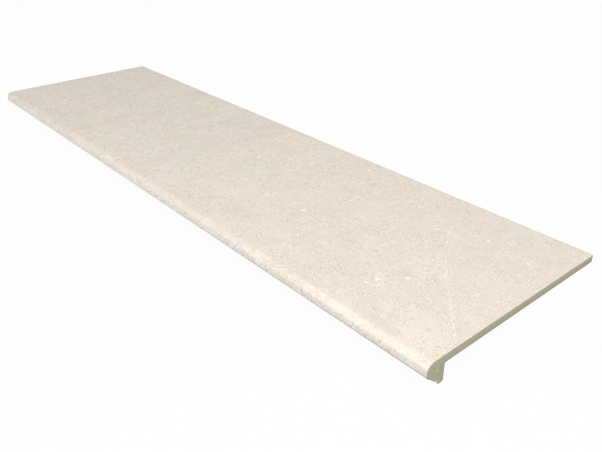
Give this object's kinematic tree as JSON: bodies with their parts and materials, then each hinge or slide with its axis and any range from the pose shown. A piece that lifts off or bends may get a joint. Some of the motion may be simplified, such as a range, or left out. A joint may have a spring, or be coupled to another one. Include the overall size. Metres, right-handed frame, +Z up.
{
  "type": "bullnose tile",
  "caption": "Long ceramic step tread tile whose front edge rolls over in a bullnose and hangs down as a wedge-shaped drip nose; the underside is keyed for adhesive.",
  "frame": {"origin": "centre of the bounding box's bottom, on the floor under the middle of the tile", "axes": "+X along the tread's length, -Y towards the nose, +Z up; the tile rests on its nose tip and its lower rear edge, so the walking face leans back 4.72 degrees"},
  "size_m": [1.2, 0.3302, 0.0372],
  "materials": {
    "glazed_stoneware": "satin"
  },
  "bodies": {
    "root": {"bullnose_tile": "glazed_stoneware"}
  },
  "joints": []
}
